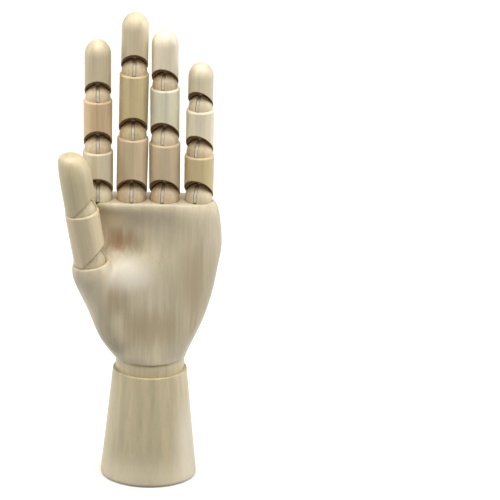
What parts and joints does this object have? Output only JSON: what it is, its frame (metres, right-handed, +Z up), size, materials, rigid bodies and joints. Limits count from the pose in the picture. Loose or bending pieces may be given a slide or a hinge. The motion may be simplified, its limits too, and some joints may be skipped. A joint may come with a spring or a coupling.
{
  "type": "jointed wooden hand mannequin",
  "caption": "Turned wooden hand with slotted ball-and-tongue joints in every finger and thumb, a carved palm and a ball wrist on a tapered round base.",
  "frame": {"origin": "centre of the base's flat underside", "axes": "+Z up through the base and the wrist towards the fingertips, -Y out of the palm, -X towards the thumb"},
  "size_m": [0.0833, 0.0507, 0.2498],
  "materials": {
    "base_wood": "satin lacquered turned hardwood",
    "palm_wood": "sanded and lacquered carved hardwood",
    "finger_wood": "satin lacquered turned hardwood",
    "ball_wood": "satin turned hardwood",
    "steel": "plain steel"
  },
  "bodies": {
    "base": {"base": "base_wood"},
    "wrist": {"wrist_ball": "ball_wood", "wrist_rod": "steel", "wrist_nut": "steel", "wrist_washer": "steel", "wrist_spring": "steel"},
    "palm": {"palm": "palm_wood", "wrist_hinge": "steel", "knuckle_studs": "steel"},
    "index_knuckle": {"index_knuckle_ball": "ball_wood"},
    "index_proximal": {"index_proximal": "finger_wood", "index_knuckle_hinge": "steel", "index_middle_joint_ball": "ball_wood"},
    "index_middle": {"index_middle": "finger_wood", "index_middle_joint_hinge": "steel", "index_end_joint_ball": "ball_wood"},
    "index_distal": {"index_distal": "finger_wood", "index_end_joint_hinge": "steel"},
    "middle_knuckle": {"middle_knuckle_ball": "ball_wood"},
    "middle_proximal": {"middle_proximal": "finger_wood", "middle_knuckle_hinge": "steel", "middle_middle_joint_ball": "ball_wood"},
    "middle_middle": {"middle_middle": "finger_wood", "middle_middle_joint_hinge": "steel", "middle_end_joint_ball": "ball_wood"},
    "middle_distal": {"middle_distal": "finger_wood", "middle_end_joint_hinge": "steel"},
    "ring_knuckle": {"ring_knuckle_ball": "ball_wood"},
    "ring_proximal": {"ring_proximal": "finger_wood", "ring_knuckle_hinge": "steel", "ring_middle_joint_ball": "ball_wood"},
    "ring_middle": {"ring_middle": "finger_wood", "ring_middle_joint_hinge": "steel", "ring_end_joint_ball": "ball_wood"},
    "ring_distal": {"ring_distal": "finger_wood", "ring_end_joint_hinge": "steel"},
    "little_knuckle": {"little_knuckle_ball": "ball_wood"},
    "little_proximal": {"little_proximal": "finger_wood", "little_knuckle_hinge": "steel", "little_middle_joint_ball": "ball_wood"},
    "little_middle": {"little_middle": "finger_wood", "little_middle_joint_hinge": "steel", "little_end_joint_ball": "ball_wood"},
    "little_distal": {"little_distal": "finger_wood", "little_end_joint_hinge": "steel"},
    "thumb_knuckle": {"thumb_knuckle_ball": "ball_wood"},
    "thumb_proximal": {"thumb_proximal": "finger_wood", "thumb_knuckle_hinge": "steel", "thumb_end_joint_ball": "ball_wood"},
    "thumb_distal": {"thumb_distal": "finger_wood", "thumb_end_joint_hinge": "steel"}
  },
  "joints": [
    {"name": "wrist_turn", "type": "hinge", "parent": "base", "child": "wrist", "pos_m": [0, 0, 0.0607], "axis": [0, 0, 1], "continuous": true},
    {"name": "wrist_tilt", "type": "hinge", "parent": "wrist", "child": "palm", "pos_m": [0, 0, 0.0607], "axis": [1, 0, 0], "range_deg": [-18, 18]},
    {"name": "index_swivel", "type": "hinge", "parent": "palm", "child": "index_knuckle", "pos_m": [-0.0277, 0, 0.1496], "axis": [-0.013, 0, 0.9999], "continuous": true},
    {"name": "index_knuckle", "type": "hinge", "parent": "index_knuckle", "child": "index_proximal", "pos_m": [-0.0277, 0, 0.1496], "axis": [0.9999, 0, 0.013], "range_deg": [0, 18]},
    {"name": "index_middle_joint", "type": "hinge", "parent": "index_proximal", "child": "index_middle", "pos_m": [-0.02804, 0, 0.1754], "axis": [0.9999, 0, 0.013], "range_deg": [0, 70]},
    {"name": "index_end_joint", "type": "hinge", "parent": "index_middle", "child": "index_distal", "pos_m": [-0.02839, 0, 0.2028], "axis": [0.9999, 0, 0.013], "range_deg": [0, 60]},
    {"name": "middle_swivel", "type": "hinge", "parent": "palm", "child": "middle_knuckle", "pos_m": [-0.0106, 0, 0.1496], "axis": [0.008, 0, 1], "continuous": true},
    {"name": "middle_knuckle", "type": "hinge", "parent": "middle_knuckle", "child": "middle_proximal", "pos_m": [-0.0106, 0, 0.1496], "axis": [1, 0, -0.008], "range_deg": [0, 65]},
    {"name": "middle_middle_joint", "type": "hinge", "parent": "middle_proximal", "child": "middle_middle", "pos_m": [-0.01033, 0, 0.183], "axis": [1, 0, -0.008], "range_deg": [0, 70]},
    {"name": "middle_end_joint", "type": "hinge", "parent": "middle_middle", "child": "middle_distal", "pos_m": [-0.01006, 0, 0.2172], "axis": [1, 0, -0.008], "range_deg": [0, 60]},
    {"name": "ring_swivel", "type": "hinge", "parent": "palm", "child": "ring_knuckle", "pos_m": [0.0062, 0, 0.1496], "axis": [-0.01, 0, 0.9999], "continuous": true},
    {"name": "ring_knuckle", "type": "hinge", "parent": "ring_knuckle", "child": "ring_proximal", "pos_m": [0.0062, 0, 0.1496], "axis": [0.9848, -0.1736, 0.0098], "range_deg": [0, 65]},
    {"name": "ring_middle_joint", "type": "hinge", "parent": "ring_proximal", "child": "ring_middle", "pos_m": [0.00589, 0, 0.1804], "axis": [0.9848, -0.1736, 0.0098], "range_deg": [0, 70]},
    {"name": "ring_end_joint", "type": "hinge", "parent": "ring_middle", "child": "ring_distal", "pos_m": [0.0056, 0, 0.2098], "axis": [0.9848, -0.1736, 0.0098], "range_deg": [0, 60]},
    {"name": "little_swivel", "type": "hinge", "parent": "palm", "child": "little_knuckle", "pos_m": [0.0235, 0, 0.1496], "axis": [0.004, 0, 1], "continuous": true},
    {"name": "little_knuckle", "type": "hinge", "parent": "little_knuckle", "child": "little_proximal", "pos_m": [0.0235, 0, 0.1496], "axis": [0.9613, -0.2756, -0.0038], "range_deg": [0, 65]},
    {"name": "little_middle_joint", "type": "hinge", "parent": "little_proximal", "child": "little_middle", "pos_m": [0.0236, 0, 0.174], "axis": [0.9613, -0.2756, -0.0038], "range_deg": [0, 70]},
    {"name": "little_end_joint", "type": "hinge", "parent": "little_middle", "child": "little_distal", "pos_m": [0.0237, 0, 0.1984], "axis": [0.9613, -0.2756, -0.0038], "range_deg": [0, 60]},
    {"name": "thumb_swivel", "type": "hinge", "parent": "palm", "child": "thumb_knuckle", "pos_m": [-0.0309, -0.0131, 0.1194], "axis": [0.1708, 0.1055, -0.9796], "continuous": true},
    {"name": "thumb_knuckle", "type": "hinge", "parent": "thumb_knuckle", "child": "thumb_proximal", "pos_m": [-0.0309, -0.0131, 0.1194], "axis": [-0.256, -0.9554, -0.1475], "range_deg": [-45, 0]},
    {"name": "thumb_end_joint", "type": "hinge", "parent": "thumb_proximal", "child": "thumb_distal", "pos_m": [-0.03585, -0.01616, 0.14781], "axis": [-0.256, -0.9554, -0.1475], "range_deg": [-45, 0]}
  ]
}
